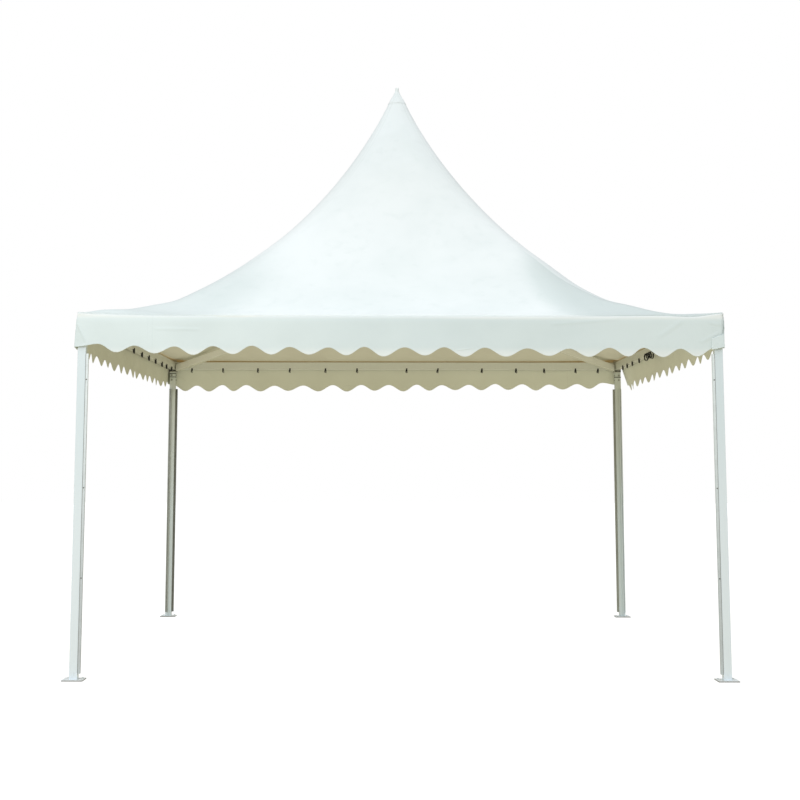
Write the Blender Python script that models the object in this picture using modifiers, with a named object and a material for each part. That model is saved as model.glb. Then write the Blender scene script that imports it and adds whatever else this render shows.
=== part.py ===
"""Marquee tent: a five metre square pagoda canopy on a four-post aluminium frame.

Metres, +Z up, ground at Z = 0. The origin is on the ground under the peak, and the front faces -Y.
The plan is square, so every corner piece and every side piece is built once, for the back right
corner or for the front side, and turned about Z for the other three.
"""

import math

import bmesh
import bpy
from mathutils import Matrix, Vector

TENT = "marquee_tent"

# Turns about Z, in quarter turns, of the pieces built at the back right corner and on the front side
CORNERS = {"back_right": 0, "back_left": 1, "front_left": 2, "front_right": 3}
SIDES = {"front": 0, "right": 1, "back": 2, "left": 3}
ENDS = {"left": -1, "right": 1}

# Gap left between two pieces that touch
TOUCH = 0.0003

# Posts: square tubes, with the side of the tent's plan measured between post centres
POST_SPAN = 4.937
POST_WIDTH = 0.063
POST_TOP = 2.655
TUBE_WALL = 0.0025
TUBE_CORNER = 0.003
HALF_SPAN = POST_SPAN / 2
FRAME_HALF = HALF_SPAN + POST_WIDTH / 2

# Base plates, each with a stub that stands inside its post
PLATE_SIDE = 0.160
PLATE_THICKNESS = 0.008
PLATE_HOLE_OFFSET = 0.058
PLATE_HOLE_RADIUS = 0.007
STUB_HEIGHT = 0.110
STUB_CLEARANCE = 0.0003

# Grooved tracks for side walls, flush with the outer faces of the posts
TRACK_DEPTH = 0.020
TRACK_WIDTH = 0.026
TRACK_MOUTH = 0.006
TRACK_LIP = 0.003
TRACK_CAVITY_WIDTH = 0.014
TRACK_CAVITY_DEPTH = 0.011
TRACK_BOTTOM = 0.050
TRACK_TOP = 2.470

# Eave beams between the corner brackets
BEAM_BOTTOM = 2.684
BEAM_TOP = 2.766
SPIGOT_LENGTH = 0.120

# Corner brackets
BRACKET_INSET = 0.008
BRACKET_TOP = 2.786
BRACKET_LEG = 0.130
GUSSET_THICKNESS = 0.008

# Hip rafters, from the corner brackets up to the crown hub; radii are measured in plan from the centre
RAFTER_WIDTH = 0.045
RAFTER_DEPTH = 0.070
RAFTER_LOW_RADIUS = 3.410
RAFTER_LOW_HEIGHT = 2.702
RAFTER_HIGH_RADIUS = 0.052
CROWN_HEIGHT = 3.269
RAFTER_SPIGOT = 0.120
RAFTER_END_SLACK = 0.012

# Crown hub and king pole
HUB_RADIUS = 0.045
HUB_BOTTOM = 3.205
HUB_TOP = 3.335
HUB_FLOOR = 0.015
POLE_RADIUS = 0.024
POLE_WALL = 0.0025
POLE_DISC_RADIUS = 0.0735
POLE_DISC_THICKNESS = 0.010
POLE_TOP = 5.085
POLE_TIP_RADIUS = 0.012
ROUND_SEGMENTS = 24

# Roof skin: its height over the half width of its horizontal section, which grows square towards the eave
SKIN_THICKNESS = 0.004
RING_TOP = 0.066
RING_EAVE = 2.500
CORNER_HEIGHT = 2.795
EAVE_SAG = 0.0245
CURVE_SCALE = 0.6663
CURVE_POWER = 1.4786
CURVE_REACH = 2.268
CURVE_SOFTNESS = 0.160
PEAK_LIFT = 0.0972
PEAK_LIFT_LENGTH = 0.350
ROUND_BLUNTNESS = 0.5
SQUARE_BLUNTNESS = 0.001
SQUARING_POWER = 1.5
SAG_POWER_ACROSS = 6
SAG_POWER_DOWN = 12
FOLD_RADIUS = 0.0065
SKIRT_BOTTOM = 2.740
SKIN_COLUMNS = 12
SKIN_ROWS = 18
ROW_CROWDING = 1.40
FOLD_ROWS = 3

# Valances: one scalloped strip a side; lobes of one pitch, a shorter last one, and level ends
VALANCE_THICKNESS = 0.003
VALANCE_CREST = 2.520
VALANCE_DIP = 2.448
LOBE_PITCH = 0.3006
FIRST_CREST = -2.342
LAST_CREST = 2.430
LOBE_COUNT = 15
LOBE_STEPS = 8

# Peak cap: a drip cap over the skin's top ring; radius and height of its outer face, top down
CAP_PROFILE = (
    (0.0185, 5.235),
    (0.0185, 5.206),
    (0.0280, 5.188),
    (0.0440, 5.155),
    (0.0620, 5.127),
    (0.0735, 5.106),
    (0.0885, 5.076),
)
CAP_WALL = 0.003

# Colour, roughness and metallic value of each finish
FINISHES = {
    "white_tube": ((0.80, 0.83, 0.84, 1.0), 0.42, 0.0),
    "track_aluminium": ((0.52, 0.54, 0.53, 1.0), 0.38, 1.0),
    "bracket_steel": ((0.60, 0.62, 0.61, 1.0), 0.45, 1.0),
    "roof_fabric": ((0.86, 0.90, 0.89, 1.0), 0.48, 0.0),
    "valance_fabric": ((0.80, 0.85, 0.83, 1.0), 0.50, 0.0),
    "cap_fabric": ((0.84, 0.88, 0.87, 1.0), 0.50, 0.0),
}


def clear_scene():
    for obj in list(bpy.data.objects):
        bpy.data.objects.remove(obj, do_unlink=True)


def make_collection(name):
    collection = bpy.data.collections.new(name)
    bpy.context.scene.collection.children.link(collection)
    return collection


def finish(name):
    """The Principled material of one finish, made on first use."""
    material = bpy.data.materials.get(name)
    if material is None:
        colour, roughness, metallic = FINISHES[name]
        material = bpy.data.materials.new(name)
        material.use_nodes = True
        shader = material.node_tree.nodes["Principled BSDF"]
        shader.inputs["Base Color"].default_value = colour
        shader.inputs["Roughness"].default_value = roughness
        shader.inputs["Metallic"].default_value = metallic
        material.diffuse_color = colour
    return material


def place(name, data, finish_name, matrix=None):
    """Add one named piece to the tent's collection."""
    if not data.materials:
        data.materials.append(finish(finish_name))
    obj = bpy.data.objects.new(name, data)
    obj.matrix_world = matrix or Matrix.Identity(4)
    bpy.data.collections[TENT].objects.link(obj)
    return obj


def quarter_turns(count):
    return Matrix.Rotation(math.radians(90.0) * count, 4, "Z")


def box_mesh(name, low, high):
    """A closed box between two corners."""
    low = Vector(low)
    high = Vector(high)
    bm = bmesh.new()
    scale = Matrix.Diagonal((*(high - low), 1.0))
    bmesh.ops.create_cube(bm, size=1.0, matrix=Matrix.Translation((low + high) / 2) @ scale)
    mesh = bpy.data.meshes.new(name)
    bm.to_mesh(mesh)
    bm.free()
    return mesh


def cylinder_mesh(name, centres, radius, low, high, segments=ROUND_SEGMENTS):
    """Closed upright cylinders at one or more centres."""
    bm = bmesh.new()
    for x, y in centres:
        bmesh.ops.create_cone(
            bm,
            cap_ends=True,
            segments=segments,
            radius1=radius,
            radius2=radius,
            depth=high - low,
            matrix=Matrix.Translation((x, y, (low + high) / 2)),
        )
    mesh = bpy.data.meshes.new(name)
    bm.to_mesh(mesh)
    bm.free()
    return mesh


def combine(base, steps):
    """One mesh from a base mesh and (operation, mesh) steps, by exact Booleans."""
    cutters = bpy.data.collections["cutters"]
    body = bpy.data.objects.new(base.name, base)
    cutters.objects.link(body)
    tools = []
    for operation, mesh in steps:
        tool = bpy.data.objects.new(mesh.name, mesh)
        tool.hide_render = True
        tool.display_type = "WIRE"
        cutters.objects.link(tool)
        modifier = body.modifiers.new(operation.lower(), "BOOLEAN")
        modifier.operation = operation
        modifier.solver = "EXACT"
        modifier.object = tool
        tools.append(tool)
    graph = bpy.context.evaluated_depsgraph_get()
    result = bpy.data.meshes.new_from_object(body.evaluated_get(graph))
    result.name = base.name
    for obj in (body, *tools):
        bpy.data.objects.remove(obj, do_unlink=True)
    return result


def outline_curve(name, outlines, length):
    """Flat closed outlines in XY, the second and later ones holes, drawn out along Z about the origin."""
    curve = bpy.data.curves.new(name, "CURVE")
    curve.dimensions = "2D"
    curve.fill_mode = "BOTH"
    curve.extrude = length / 2
    for points in outlines:
        spline = curve.splines.new("POLY")
        spline.points.add(len(points) - 1)
        for point, (x, y) in zip(spline.points, points):
            point.co = (x, y, 0.0, 1.0)
        spline.use_cyclic_u = True
    return curve


def rectangle(width, height, radius=0.0, steps=2):
    """Corner points of a rectangle about the origin, with rounded corners where a radius is given."""
    if radius == 0.0:
        return [(sx * width / 2, sy * height / 2) for sx, sy in ((-1, -1), (1, -1), (1, 1), (-1, 1))]
    points = []
    for quarter, (sx, sy) in enumerate(((1, 1), (-1, 1), (-1, -1), (1, -1))):
        for step in range(steps + 1):
            angle = math.radians(90.0) * (quarter + step / steps)
            x = sx * (width / 2 - radius) + radius * math.cos(angle)
            y = sy * (height / 2 - radius) + radius * math.sin(angle)
            points.append((x, y))
    return points


def tube_outlines(width, height):
    inner = rectangle(width - 2 * TUBE_WALL, height - 2 * TUBE_WALL)
    return [rectangle(width, height, TUBE_CORNER), inner]


def along(direction, across, centre):
    """A frame whose Z runs along direction and whose X runs across."""
    z = Vector(direction).normalized()
    x = Vector(across).normalized()
    y = z.cross(x)
    matrix = Matrix((x, y, z)).transposed().to_4x4()
    matrix.translation = Vector(centre)
    return matrix


def build_posts():
    bottom = PLATE_THICKNESS + TOUCH
    top = POST_TOP - TOUCH
    curve = outline_curve("post", tube_outlines(POST_WIDTH, POST_WIDTH), top - bottom)
    for corner, turns in CORNERS.items():
        centre = quarter_turns(turns) @ Vector((HALF_SPAN, HALF_SPAN, (bottom + top) / 2))
        place(f"post_{corner}", curve, "white_tube", Matrix.Translation(centre))


def stub_width():
    """Width of anything that slides inside a post."""
    return POST_WIDTH - 2 * TUBE_WALL - 2 * STUB_CLEARANCE


def build_base_plates():
    half = PLATE_SIDE / 2
    stub = stub_width() / 2
    plate = box_mesh("base_plate", (-half, -half, 0.0), (half, half, PLATE_THICKNESS))
    post_stub = box_mesh("post_stub", (-stub, -stub, PLATE_THICKNESS / 2), (stub, stub, STUB_HEIGHT))
    hole_centres = [(sx * PLATE_HOLE_OFFSET, sy * PLATE_HOLE_OFFSET) for sx in (-1, 1) for sy in (-1, 1)]
    holes = cylinder_mesh(
        "anchor_holes", hole_centres, PLATE_HOLE_RADIUS, -PLATE_THICKNESS, 2 * PLATE_THICKNESS, segments=12
    )
    mesh = combine(plate, [("UNION", post_stub), ("DIFFERENCE", holes)])
    for corner, turns in CORNERS.items():
        centre = quarter_turns(turns) @ Vector((HALF_SPAN, HALF_SPAN, 0.0))
        place(f"base_plate_{corner}", mesh, "bracket_steel", Matrix.Translation(centre))


def track_outline():
    """C section about its own width's middle; the back is at X = 0 and the mouth opens towards +X."""
    half = TRACK_WIDTH / 2
    mouth = TRACK_MOUTH / 2
    cavity = TRACK_CAVITY_WIDTH / 2
    lip = TRACK_DEPTH - TRACK_LIP
    floor = lip - TRACK_CAVITY_DEPTH
    return [
        (0.0, -half),
        (TRACK_DEPTH, -half),
        (TRACK_DEPTH, -mouth),
        (lip, -mouth),
        (lip, -cavity),
        (floor, -cavity),
        (floor, cavity),
        (lip, cavity),
        (lip, mouth),
        (TRACK_DEPTH, mouth),
        (TRACK_DEPTH, half),
        (0.0, half),
    ]


def build_tracks():
    curve = outline_curve("wall_track", [track_outline()], TRACK_TOP - TRACK_BOTTOM)
    from_middle = HALF_SPAN - POST_WIDTH / 2 - TOUCH
    out = FRAME_HALF - TRACK_WIDTH / 2
    height = (TRACK_TOP + TRACK_BOTTOM) / 2
    for side, turns in SIDES.items():
        for end, sign in ENDS.items():
            facing = Matrix.Rotation(math.radians(180.0) if sign > 0 else 0.0, 4, "Z")
            local = Matrix.Translation((sign * from_middle, -out, height)) @ facing
            place(f"{side}_track_{end}", curve, "track_aluminium", quarter_turns(turns) @ local)


def build_beams():
    """Eave beams, end to end between the faces of two corner brackets."""
    length = POST_SPAN - POST_WIDTH - 2 * BRACKET_INSET - 2 * TOUCH
    height = BEAM_TOP - BEAM_BOTTOM
    curve = outline_curve("eave_beam", tube_outlines(POST_WIDTH, height), length)
    middle = (0.0, -HALF_SPAN, (BEAM_TOP + BEAM_BOTTOM) / 2)
    local = along((1, 0, 0), (0, 1, 0), middle)
    for side, turns in SIDES.items():
        place(f"eave_beam_{side}", curve, "white_tube", quarter_turns(turns) @ local)


def rafter_slope():
    """Fall of a rafter's axis for each metre outwards in plan."""
    return (CROWN_HEIGHT - RAFTER_LOW_HEIGHT) / RAFTER_LOW_RADIUS


def rafter_axis_point(radius):
    """Point on the back right rafter's axis at a radius in plan."""
    reach = radius / math.sqrt(2.0)
    return Vector((reach, reach, CROWN_HEIGHT - rafter_slope() * radius))


def rafter_matrix(radius_a, radius_b):
    """Frame about the middle of a stretch of the back right rafter, and the stretch's length."""
    a = rafter_axis_point(radius_a)
    b = rafter_axis_point(radius_b)
    return along(b - a, (1, -1, 0), (a + b) / 2), (b - a).length


def build_rafters():
    local, length = rafter_matrix(RAFTER_HIGH_RADIUS, RAFTER_LOW_RADIUS)
    curve = outline_curve("hip_rafter", tube_outlines(RAFTER_WIDTH, RAFTER_DEPTH), length)
    for corner, turns in CORNERS.items():
        place(f"hip_rafter_{corner}", curve, "white_tube", quarter_turns(turns) @ local)


def rafter_bar(name, width, depth, radius_a, radius_b):
    """A box along the back right rafter's axis, between two radii in plan."""
    matrix, length = rafter_matrix(radius_a, radius_b)
    half = Vector((width / 2, depth / 2, length / 2))
    mesh = box_mesh(name, -half, half)
    mesh.transform(matrix)
    return mesh


def spigot_section():
    """Width and depth of a bar that slides inside a rafter."""
    slack = 2 * TUBE_WALL + 2 * STUB_CLEARANCE
    return RAFTER_WIDTH - slack, RAFTER_DEPTH - slack


def build_corner_brackets():
    """Block on the post, with a leg down the post, a spigot into each beam and a gusset to the rafter."""
    inner = HALF_SPAN - POST_WIDTH / 2 - BRACKET_INSET
    stub = stub_width() / 2
    block = box_mesh("corner_bracket", (inner, inner, POST_TOP), (FRAME_HALF, FRAME_HALF, BRACKET_TOP))
    leg = box_mesh(
        "leg",
        (HALF_SPAN - stub, HALF_SPAN - stub, POST_TOP - BRACKET_LEG),
        (HALF_SPAN + stub, HALF_SPAN + stub, POST_TOP + TUBE_WALL),
    )
    wall = TUBE_WALL + STUB_CLEARANCE
    low = BEAM_BOTTOM + wall
    high = BEAM_TOP - wall
    reach = inner - SPIGOT_LENGTH
    spigot_x = box_mesh("spigot_x", (reach, HALF_SPAN - stub, low), (HALF_SPAN, HALF_SPAN + stub, high))
    spigot_y = box_mesh("spigot_y", (HALF_SPAN - stub, reach, low), (HALF_SPAN + stub, HALF_SPAN, high))
    width, depth = spigot_section()
    tip = RAFTER_LOW_RADIUS - RAFTER_SPIGOT
    gusset = rafter_bar("gusset", GUSSET_THICKNESS, depth, tip + TOUCH, HALF_SPAN * math.sqrt(2.0))
    arm = rafter_bar("arm", width, depth, tip, RAFTER_LOW_RADIUS - RAFTER_END_SLACK)
    mesh = combine(block, [("UNION", tool) for tool in (leg, spigot_x, spigot_y, gusset, arm)])
    for corner, turns in CORNERS.items():
        place(f"corner_bracket_{corner}", mesh, "bracket_steel", quarter_turns(turns))


def build_crown_hub():
    """Upright sleeve for the king pole, with one arm into each rafter."""
    sleeve = cylinder_mesh("crown_hub", [(0.0, 0.0)], HUB_RADIUS, HUB_BOTTOM, HUB_TOP)
    socket_radius = POLE_RADIUS + TOUCH
    socket = cylinder_mesh("socket", [(0.0, 0.0)], socket_radius, HUB_BOTTOM + HUB_FLOOR, HUB_TOP + HUB_FLOOR)
    width, depth = spigot_section()
    arm_start = (socket_radius + HUB_RADIUS) / 2
    arms = []
    for turns in CORNERS.values():
        arm = rafter_bar(f"hub_arm_{turns}", width, depth, arm_start, RAFTER_HIGH_RADIUS + RAFTER_SPIGOT)
        arm.transform(quarter_turns(turns))
        arms.append(("UNION", arm))
    mesh = combine(sleeve, [*arms, ("DIFFERENCE", socket)])
    place("crown_hub", mesh, "bracket_steel")


def turned_piece(name, profile, finish_name):
    """A closed turned piece from (radius, height) points that run down its outer side."""
    mesh = bpy.data.meshes.new(name)
    vertices = [(radius, 0.0, height) for radius, height in profile]
    edges = [(index, index + 1) for index in range(len(profile) - 1)]
    mesh.from_pydata(vertices, edges, [])
    obj = place(name, mesh, finish_name)
    screw = obj.modifiers.new("turn", "SCREW")
    screw.axis = "Z"
    screw.steps = ROUND_SEGMENTS
    screw.render_steps = ROUND_SEGMENTS
    screw.use_merge_vertices = True
    screw.merge_threshold = 0.00005
    screw.use_smooth_shade = True
    return obj


def cap_ceiling():
    """Height inside the peak cap where its stub closes."""
    return CAP_PROFILE[1][1]


def build_king_pole():
    """Tube that stands in the crown hub; its disc carries the skin's top ring and its tip the peak cap."""
    inner = POLE_RADIUS - POLE_WALL
    bottom = HUB_BOTTOM + HUB_FLOOR + TOUCH
    disc = POLE_TOP - POLE_DISC_THICKNESS
    tip = cap_ceiling() - TOUCH
    profile = [
        (0.0, tip),
        (POLE_TIP_RADIUS, tip),
        (POLE_TIP_RADIUS, POLE_TOP),
        (POLE_DISC_RADIUS, POLE_TOP),
        (POLE_DISC_RADIUS, disc),
        (POLE_RADIUS, disc),
        (POLE_RADIUS, bottom),
        (inner, bottom),
        (inner, disc),
        (0.0, disc),
    ]
    turned_piece("king_pole", profile, "white_tube")


def build_peak_cap():
    outer = list(CAP_PROFILE)
    inner = [(radius - CAP_WALL, height) for radius, height in outer[1:]]
    profile = [(0.0, outer[0][1]), *outer, *reversed(inner), (0.0, cap_ceiling())]
    turned_piece("peak_cap", profile, "cap_fabric")


def curve_run(ring):
    """How far inside the curve's reach a ring lies, softened so that the curve runs out level."""
    run = CURVE_REACH - ring
    return (run + math.hypot(run, CURVE_SOFTNESS)) / 2.0


def skin_height(ring):
    """Height of the skin where its section's half width is ring."""
    rise = CURVE_SCALE * (curve_run(ring) ** CURVE_POWER - curve_run(RING_EAVE) ** CURVE_POWER)
    return CORNER_HEIGHT + rise * (1.0 + PEAK_LIFT * math.exp(-ring / PEAK_LIFT_LENGTH))


def section_share(ring, angle):
    """Radius over half width: a super-ellipse, round at the peak and square at the eave."""
    bluntness = ROUND_BLUNTNESS * max(0.0, 1.0 - ring / RING_EAVE) ** SQUARING_POWER
    if bluntness < SQUARE_BLUNTNESS:
        return 1.0 / math.cos(angle)
    rounding = (1.0 + abs(math.tan(angle)) ** (1.0 / bluntness)) ** bluntness
    return 1.0 / (math.cos(angle) * rounding)


def skin_rows():
    """Half width, height and share of the eave's sag of each row, from the peak ring down to the skirt."""
    rows = []
    for row in range(SKIN_ROWS + 1):
        ring = RING_TOP + (RING_EAVE - RING_TOP) * (row / SKIN_ROWS) ** ROW_CROWDING
        rows.append((ring, skin_height(ring), (ring / RING_EAVE) ** SAG_POWER_DOWN))
    for row in range(1, FOLD_ROWS + 1):
        turn = math.radians(90.0) * row / FOLD_ROWS
        ring = RING_EAVE + FOLD_RADIUS * math.sin(turn)
        rows.append((ring, CORNER_HEIGHT - FOLD_RADIUS * (1.0 - math.cos(turn)), 1.0))
    rows.append((RING_EAVE + FOLD_RADIUS, SKIRT_BOTTOM, 0.0))
    return rows


def into_cloth(rows, row):
    """Unit step, in half width and height, from a row's outer face towards its inner one."""
    before = rows[max(row - 1, 0)]
    after = rows[min(row + 1, len(rows) - 1)]
    run = after[0] - before[0]
    fall = after[1] - before[1]
    length = math.hypot(run, fall)
    return fall / length, -run / length


def skin_point(rows, row, angle, depth):
    """Point of the front quarter: angle is -45 to 45 degrees across, depth goes in from the outer face."""
    ring, height, sag_share = rows[row]
    inward, upward = into_cloth(rows, row)
    radius = (ring + inward * depth) * section_share(ring, angle)
    sag = EAVE_SAG * (1.0 - abs(math.tan(angle)) ** SAG_POWER_ACROSS) * sag_share
    return Vector((radius * math.sin(angle), -radius * math.cos(angle), height - sag + upward * depth))


def build_roof_panels():
    """The skin's four gores, each closed along its two hips."""
    rows = skin_rows()
    last = len(rows) - 1
    bm = bmesh.new()
    for depth in (0.0, SKIN_THICKNESS):
        grid = bmesh.ops.create_grid(bm, x_segments=SKIN_COLUMNS, y_segments=last, size=1.0)
        for vertex in grid["verts"]:
            row = round((1.0 - vertex.co.y) / 2.0 * last)
            vertex.co = skin_point(rows, row, math.radians(45.0) * vertex.co.x, depth)
    rims = [edge for edge in bm.edges if edge.is_boundary]
    bmesh.ops.bridge_loops(bm, edges=rims)
    bmesh.ops.recalc_face_normals(bm, faces=bm.faces[:])
    bmesh.ops.translate(bm, verts=bm.verts[:], vec=(0.0, -TOUCH / math.sqrt(2.0), 0.0))
    mesh = bpy.data.meshes.new("roof_panel")
    bm.to_mesh(mesh)
    bm.free()
    for side, turns in SIDES.items():
        place(f"roof_panel_{side}", mesh, "roof_fabric", quarter_turns(turns))


def valance_outline(left, right, top):
    """Strip with a straight top and lobes below; X runs along the side and Y is height."""
    crests = [*(FIRST_CREST + LOBE_PITCH * index for index in range(LOBE_COUNT + 1)), LAST_CREST]
    points = [(right, top), (left, top), (left, VALANCE_CREST)]
    for start, end in zip(crests, crests[1:]):
        for step in range(LOBE_STEPS):
            share = step / LOBE_STEPS
            drop = (VALANCE_CREST - VALANCE_DIP) * (1.0 - math.cos(2.0 * math.pi * share)) / 2.0
            points.append((start + (end - start) * share, VALANCE_CREST - drop))
    points.append((LAST_CREST, VALANCE_CREST))
    points.append((right, VALANCE_CREST))
    return points


def build_valances():
    """Each strip's right end covers the left end of the next, going round the tent."""
    outer = RING_EAVE + FOLD_RADIUS
    outline = valance_outline(-outer + VALANCE_THICKNESS + TOUCH, outer, SKIRT_BOTTOM - TOUCH)
    curve = outline_curve("valance", [outline], VALANCE_THICKNESS)
    local = along((0, -1, 0), (1, 0, 0), (0.0, -outer + VALANCE_THICKNESS / 2, 0.0))
    for side, turns in SIDES.items():
        place(f"valance_{side}", curve, "valance_fabric", quarter_turns(turns) @ local)


def build():
    clear_scene()
    make_collection(TENT)
    make_collection("cutters")
    build_base_plates()
    build_posts()
    build_tracks()
    build_corner_brackets()
    build_beams()
    build_rafters()
    build_crown_hub()
    build_king_pole()
    build_roof_panels()
    build_peak_cap()
    build_valances()


build()
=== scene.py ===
import math

import bmesh
import bpy
from mathutils import Matrix, Vector, noise


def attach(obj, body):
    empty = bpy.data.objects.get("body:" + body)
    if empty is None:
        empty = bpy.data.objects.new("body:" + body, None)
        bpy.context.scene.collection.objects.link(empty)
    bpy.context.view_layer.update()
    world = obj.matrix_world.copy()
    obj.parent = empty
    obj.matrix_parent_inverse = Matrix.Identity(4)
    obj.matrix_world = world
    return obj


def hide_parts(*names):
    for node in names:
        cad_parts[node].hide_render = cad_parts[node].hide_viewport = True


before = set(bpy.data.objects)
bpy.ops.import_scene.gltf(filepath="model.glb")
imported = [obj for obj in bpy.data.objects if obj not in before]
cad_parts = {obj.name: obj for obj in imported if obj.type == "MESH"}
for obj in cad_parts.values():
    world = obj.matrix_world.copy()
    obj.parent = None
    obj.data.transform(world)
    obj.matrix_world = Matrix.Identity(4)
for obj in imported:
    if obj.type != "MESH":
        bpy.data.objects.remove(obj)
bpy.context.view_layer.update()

SIN_45 = 0.7071

# Quarter turns about Z from the front side, and from the back right corner
SIDES = {"front": 0, "right": 1, "back": 2, "left": 3}
CORNERS = {"back_right": 0, "back_left": 1, "front_left": 2, "front_right": 3}

# Frame sizes that the loose fittings sit on
POST_CENTRE = 4.937 / 2
POST_FACE = 0.063 / 2
FRAME_OUT = POST_CENTRE + POST_FACE
PLATE_TOP = 0.008
PLATE_HOLE = 0.058
BEAM_LOW = 2.684
BEAM_INNER = POST_CENTRE - POST_FACE

# Roof cloth: height of each level course from its half width, its sag along the eave, and its skirt
RING_TOP = 0.066
RING_EAVE = 2.500
CORNER_HEIGHT = 2.795
EAVE_SAG = 0.0245
END_SLACK = 0.022
END_SLACK_RUN = 2.30
END_SLACK_WIDTH = 0.17
CURVE_SCALE = 0.6663
CURVE_POWER = 1.4786
CURVE_REACH = 2.268
CURVE_SOFTNESS = 0.160
PEAK_LIFT = 0.0972
PEAK_LIFT_LENGTH = 0.350
FOLD_RADIUS = 0.0065
SKIRT_HEM = 2.735
ROOF_COLUMNS = 60
ROOF_COURSES = 74
FOLD_COURSES = 5
SKIRT_COURSES = 3
CLOTH = 0.0012
CAP_THICKNESS = 0.0014
THREAD = 0.0022

# How far the roof cloth stands off its even curve
ROOF_SLACK = 0.006
PEAK_GATHERS = 0.0012
CORNER_CREASES = 0.0035
FRONT_LEFT_LIFT = 0.034
FRONT_LEFT_FULLNESS = 0.016
FRONT_RIGHT_HOLLOW = 0.034
PEAK_COLLAR = 0.0035

# Laps along the hips: half width, the welded line at their edge, and the heights where they begin
LAP = 0.020
LAP_LINE = 0.0212
LAP_CLEAR = 0.0225
LAP_FOOT = (2.78, 2.84)

# Painted shade on the roof beside the hip rafters: run of its edge at the top and at the eave, the lengths of
# cloth down from the peak between which it moves, and how strong it is on the sides other than the front
HIP_SHADE_TOP = 1.06
HIP_SHADE_EAVE = 1.54
HIP_SHADE_SLOPES = (2.25, 4.25)
OTHER_SIDES_SHARE = 0.40

# Heights, or distances from the middle, between which a look changes
EAVE_DARKER = (2.95, 3.45)
PEAK_PALER = (4.05, 4.90)
EAVE_GLOW = (2.40, 2.45)
TUBE_SCUFFED = (0.02, 0.55)
TUBE_UPPER = (0.9, 2.3)
METAL_UPPER = (0.1, 2.6)
PLATE_RIM = (0.0062, 0.0076)
TRACK_SEAT = (2.4330, 2.4348)
STRIP_EDGE = (2.735, 2.775)
STRIP_LOBES = (2.460, 2.530)

# Valance strips: runs are measured along the strip from the middle of its side. The hem's marks are the run
# and height of each crest and dip from left to right, which the back strip has a little further on.
STRIP_FACE = 2.5084
STRIP_TOP = 2.7868
STRIP_RIGHT = 2.5046
WRAP_FACE = 2.5110
WRAP_LENGTH = 0.090
WRAP_TOP = 2.626
CORNER_ROUND = 0.007
USUAL_CREST = 2.517
USUAL_DIP = 2.449
CORNER_HEM = 2.522
END_BLEND = 0.16
HEM_MARKS = (
    (-2.342, 2.545), (-2.200, 2.479), (-2.061, 2.531), (-1.901, 2.470), (-1.747, 2.525), (-1.603, 2.459),
    (-1.452, 2.528), (-1.293, 2.465), (-1.150, 2.531), (-0.996, 2.462), (-0.857, 2.522), (-0.705, 2.462),
    (-0.554, 2.518), (-0.416, 2.456), (-0.277, 2.523), (-0.129, 2.448), (0.035, 2.519), (0.194, 2.455),
    (0.340, 2.520), (0.501, 2.446), (0.656, 2.517), (0.819, 2.447), (0.986, 2.512), (1.155, 2.453),
    (1.307, 2.510), (1.463, 2.446), (1.623, 2.517), (1.764, 2.449), (1.885, 2.517), (2.035, 2.444),
    (2.170, 2.510), (2.298, 2.449), (2.430, 2.514),
)
BACK_SHIFT = 0.036
STRIP_COURSES = 26
STRIP_COLUMNS = 206
WRAP_COLUMNS = 8
ARC_COLUMNS = 5
CORNER_COLUMNS = 10
CORNER_STRETCH = 0.10
SIDE_SEED = 1.7
LOOSE_SEED = 2.0 * SIDE_SEED
LOOSE_END = 0.095
LOOSE_FROM = 1.60
LOOSE_DEPTH = 0.285

# Relief of a strip: ripples, fuller corners, the tuck beside the left corner, and the end wrapped round it
RIPPLE = 0.0075
FRONT_RIPPLE = 0.0022
CURL = 0.004
BELLY = 0.006
BELLY_HEIGHTS = (2.715, 2.790)
CRUMPLE = 0.006
FLARE = 0.010
FLARE_HEIGHTS = (2.50, 2.74)
CORNER_EASE = 0.05
TUCK_TOP = 2.715
TUCK_DEPTH = 0.155
TUCK_WIDTH = 0.060
TUCK = 0.012
WRAP_FADE = 0.10
WRAP_HEM_DROP = 0.019
WRAP_TOP_DROP = 0.036

# Seams in a strip: heights above its hem, and runs
HEM_WELD = (0.0095, 0.0115)
SEAM_RUN = -1.940
SEAM_LINE_RUN = -1.920

# Soft folds in a strip: start, end, width and depth
STRIP_CREASES = (
    ((-2.497, 2.700), (-2.440, 2.560), 0.012, 1.0),
    ((-1.900, 2.662), (-1.560, 2.659), 0.022, 0.5),
    ((2.010, 2.604), (2.190, 2.727), 0.032, 1.0),
    ((2.330, 2.560), (2.480, 2.640), 0.024, 0.7),
    ((2.400, 2.712), (2.497, 2.694), 0.022, 0.6),
    ((0.440, 2.498), (0.560, 2.512), 0.010, 0.6),
    ((1.180, 2.700), (1.700, 2.742), 0.022, 0.6),
)

# Webbing: runs of the ties along each beam; height, half width and stand-off of the bands round a post head
WEBBING_THICKNESS = 0.0014
WEBBING_GAP = 0.0009
LOOP_STOPS = 12
BUNDLE_RUN = 0.28
BUNDLE_LOOPS = 4
LEFT_TIES = 4.0
STRAP_RUNS = {
    "front": (-2.25, -1.91, -1.52, -1.17, -0.77, -0.42, 0.13, 0.47, 0.96, 1.34, 1.65, 2.00, 2.25),
    "right": (-2.15, -1.76, -1.35, -0.95, -0.52, -0.12, 0.87, 1.28, 1.60, 1.88),
    "back": (
        -2.249, -2.000, -1.651, -1.340, -0.963, -0.475, -0.128, 0.423, 0.773, 1.167, 1.522, 1.910, 2.254,
    ),
    "left": (-2.12, -1.751, -1.429, -0.996, -0.572, -0.149, 0.304, 1.18, 1.62, 2.05),
}
BLOCK_BAND = (2.6705, 0.0070, 0.0092)
LOWER_BAND = (2.6020, 0.0035, 0.0012)
MIDDLE_BAND = (2.6400, 0.0035, 0.0012)
FAR_STAND_OFF = 0.0012

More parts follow.
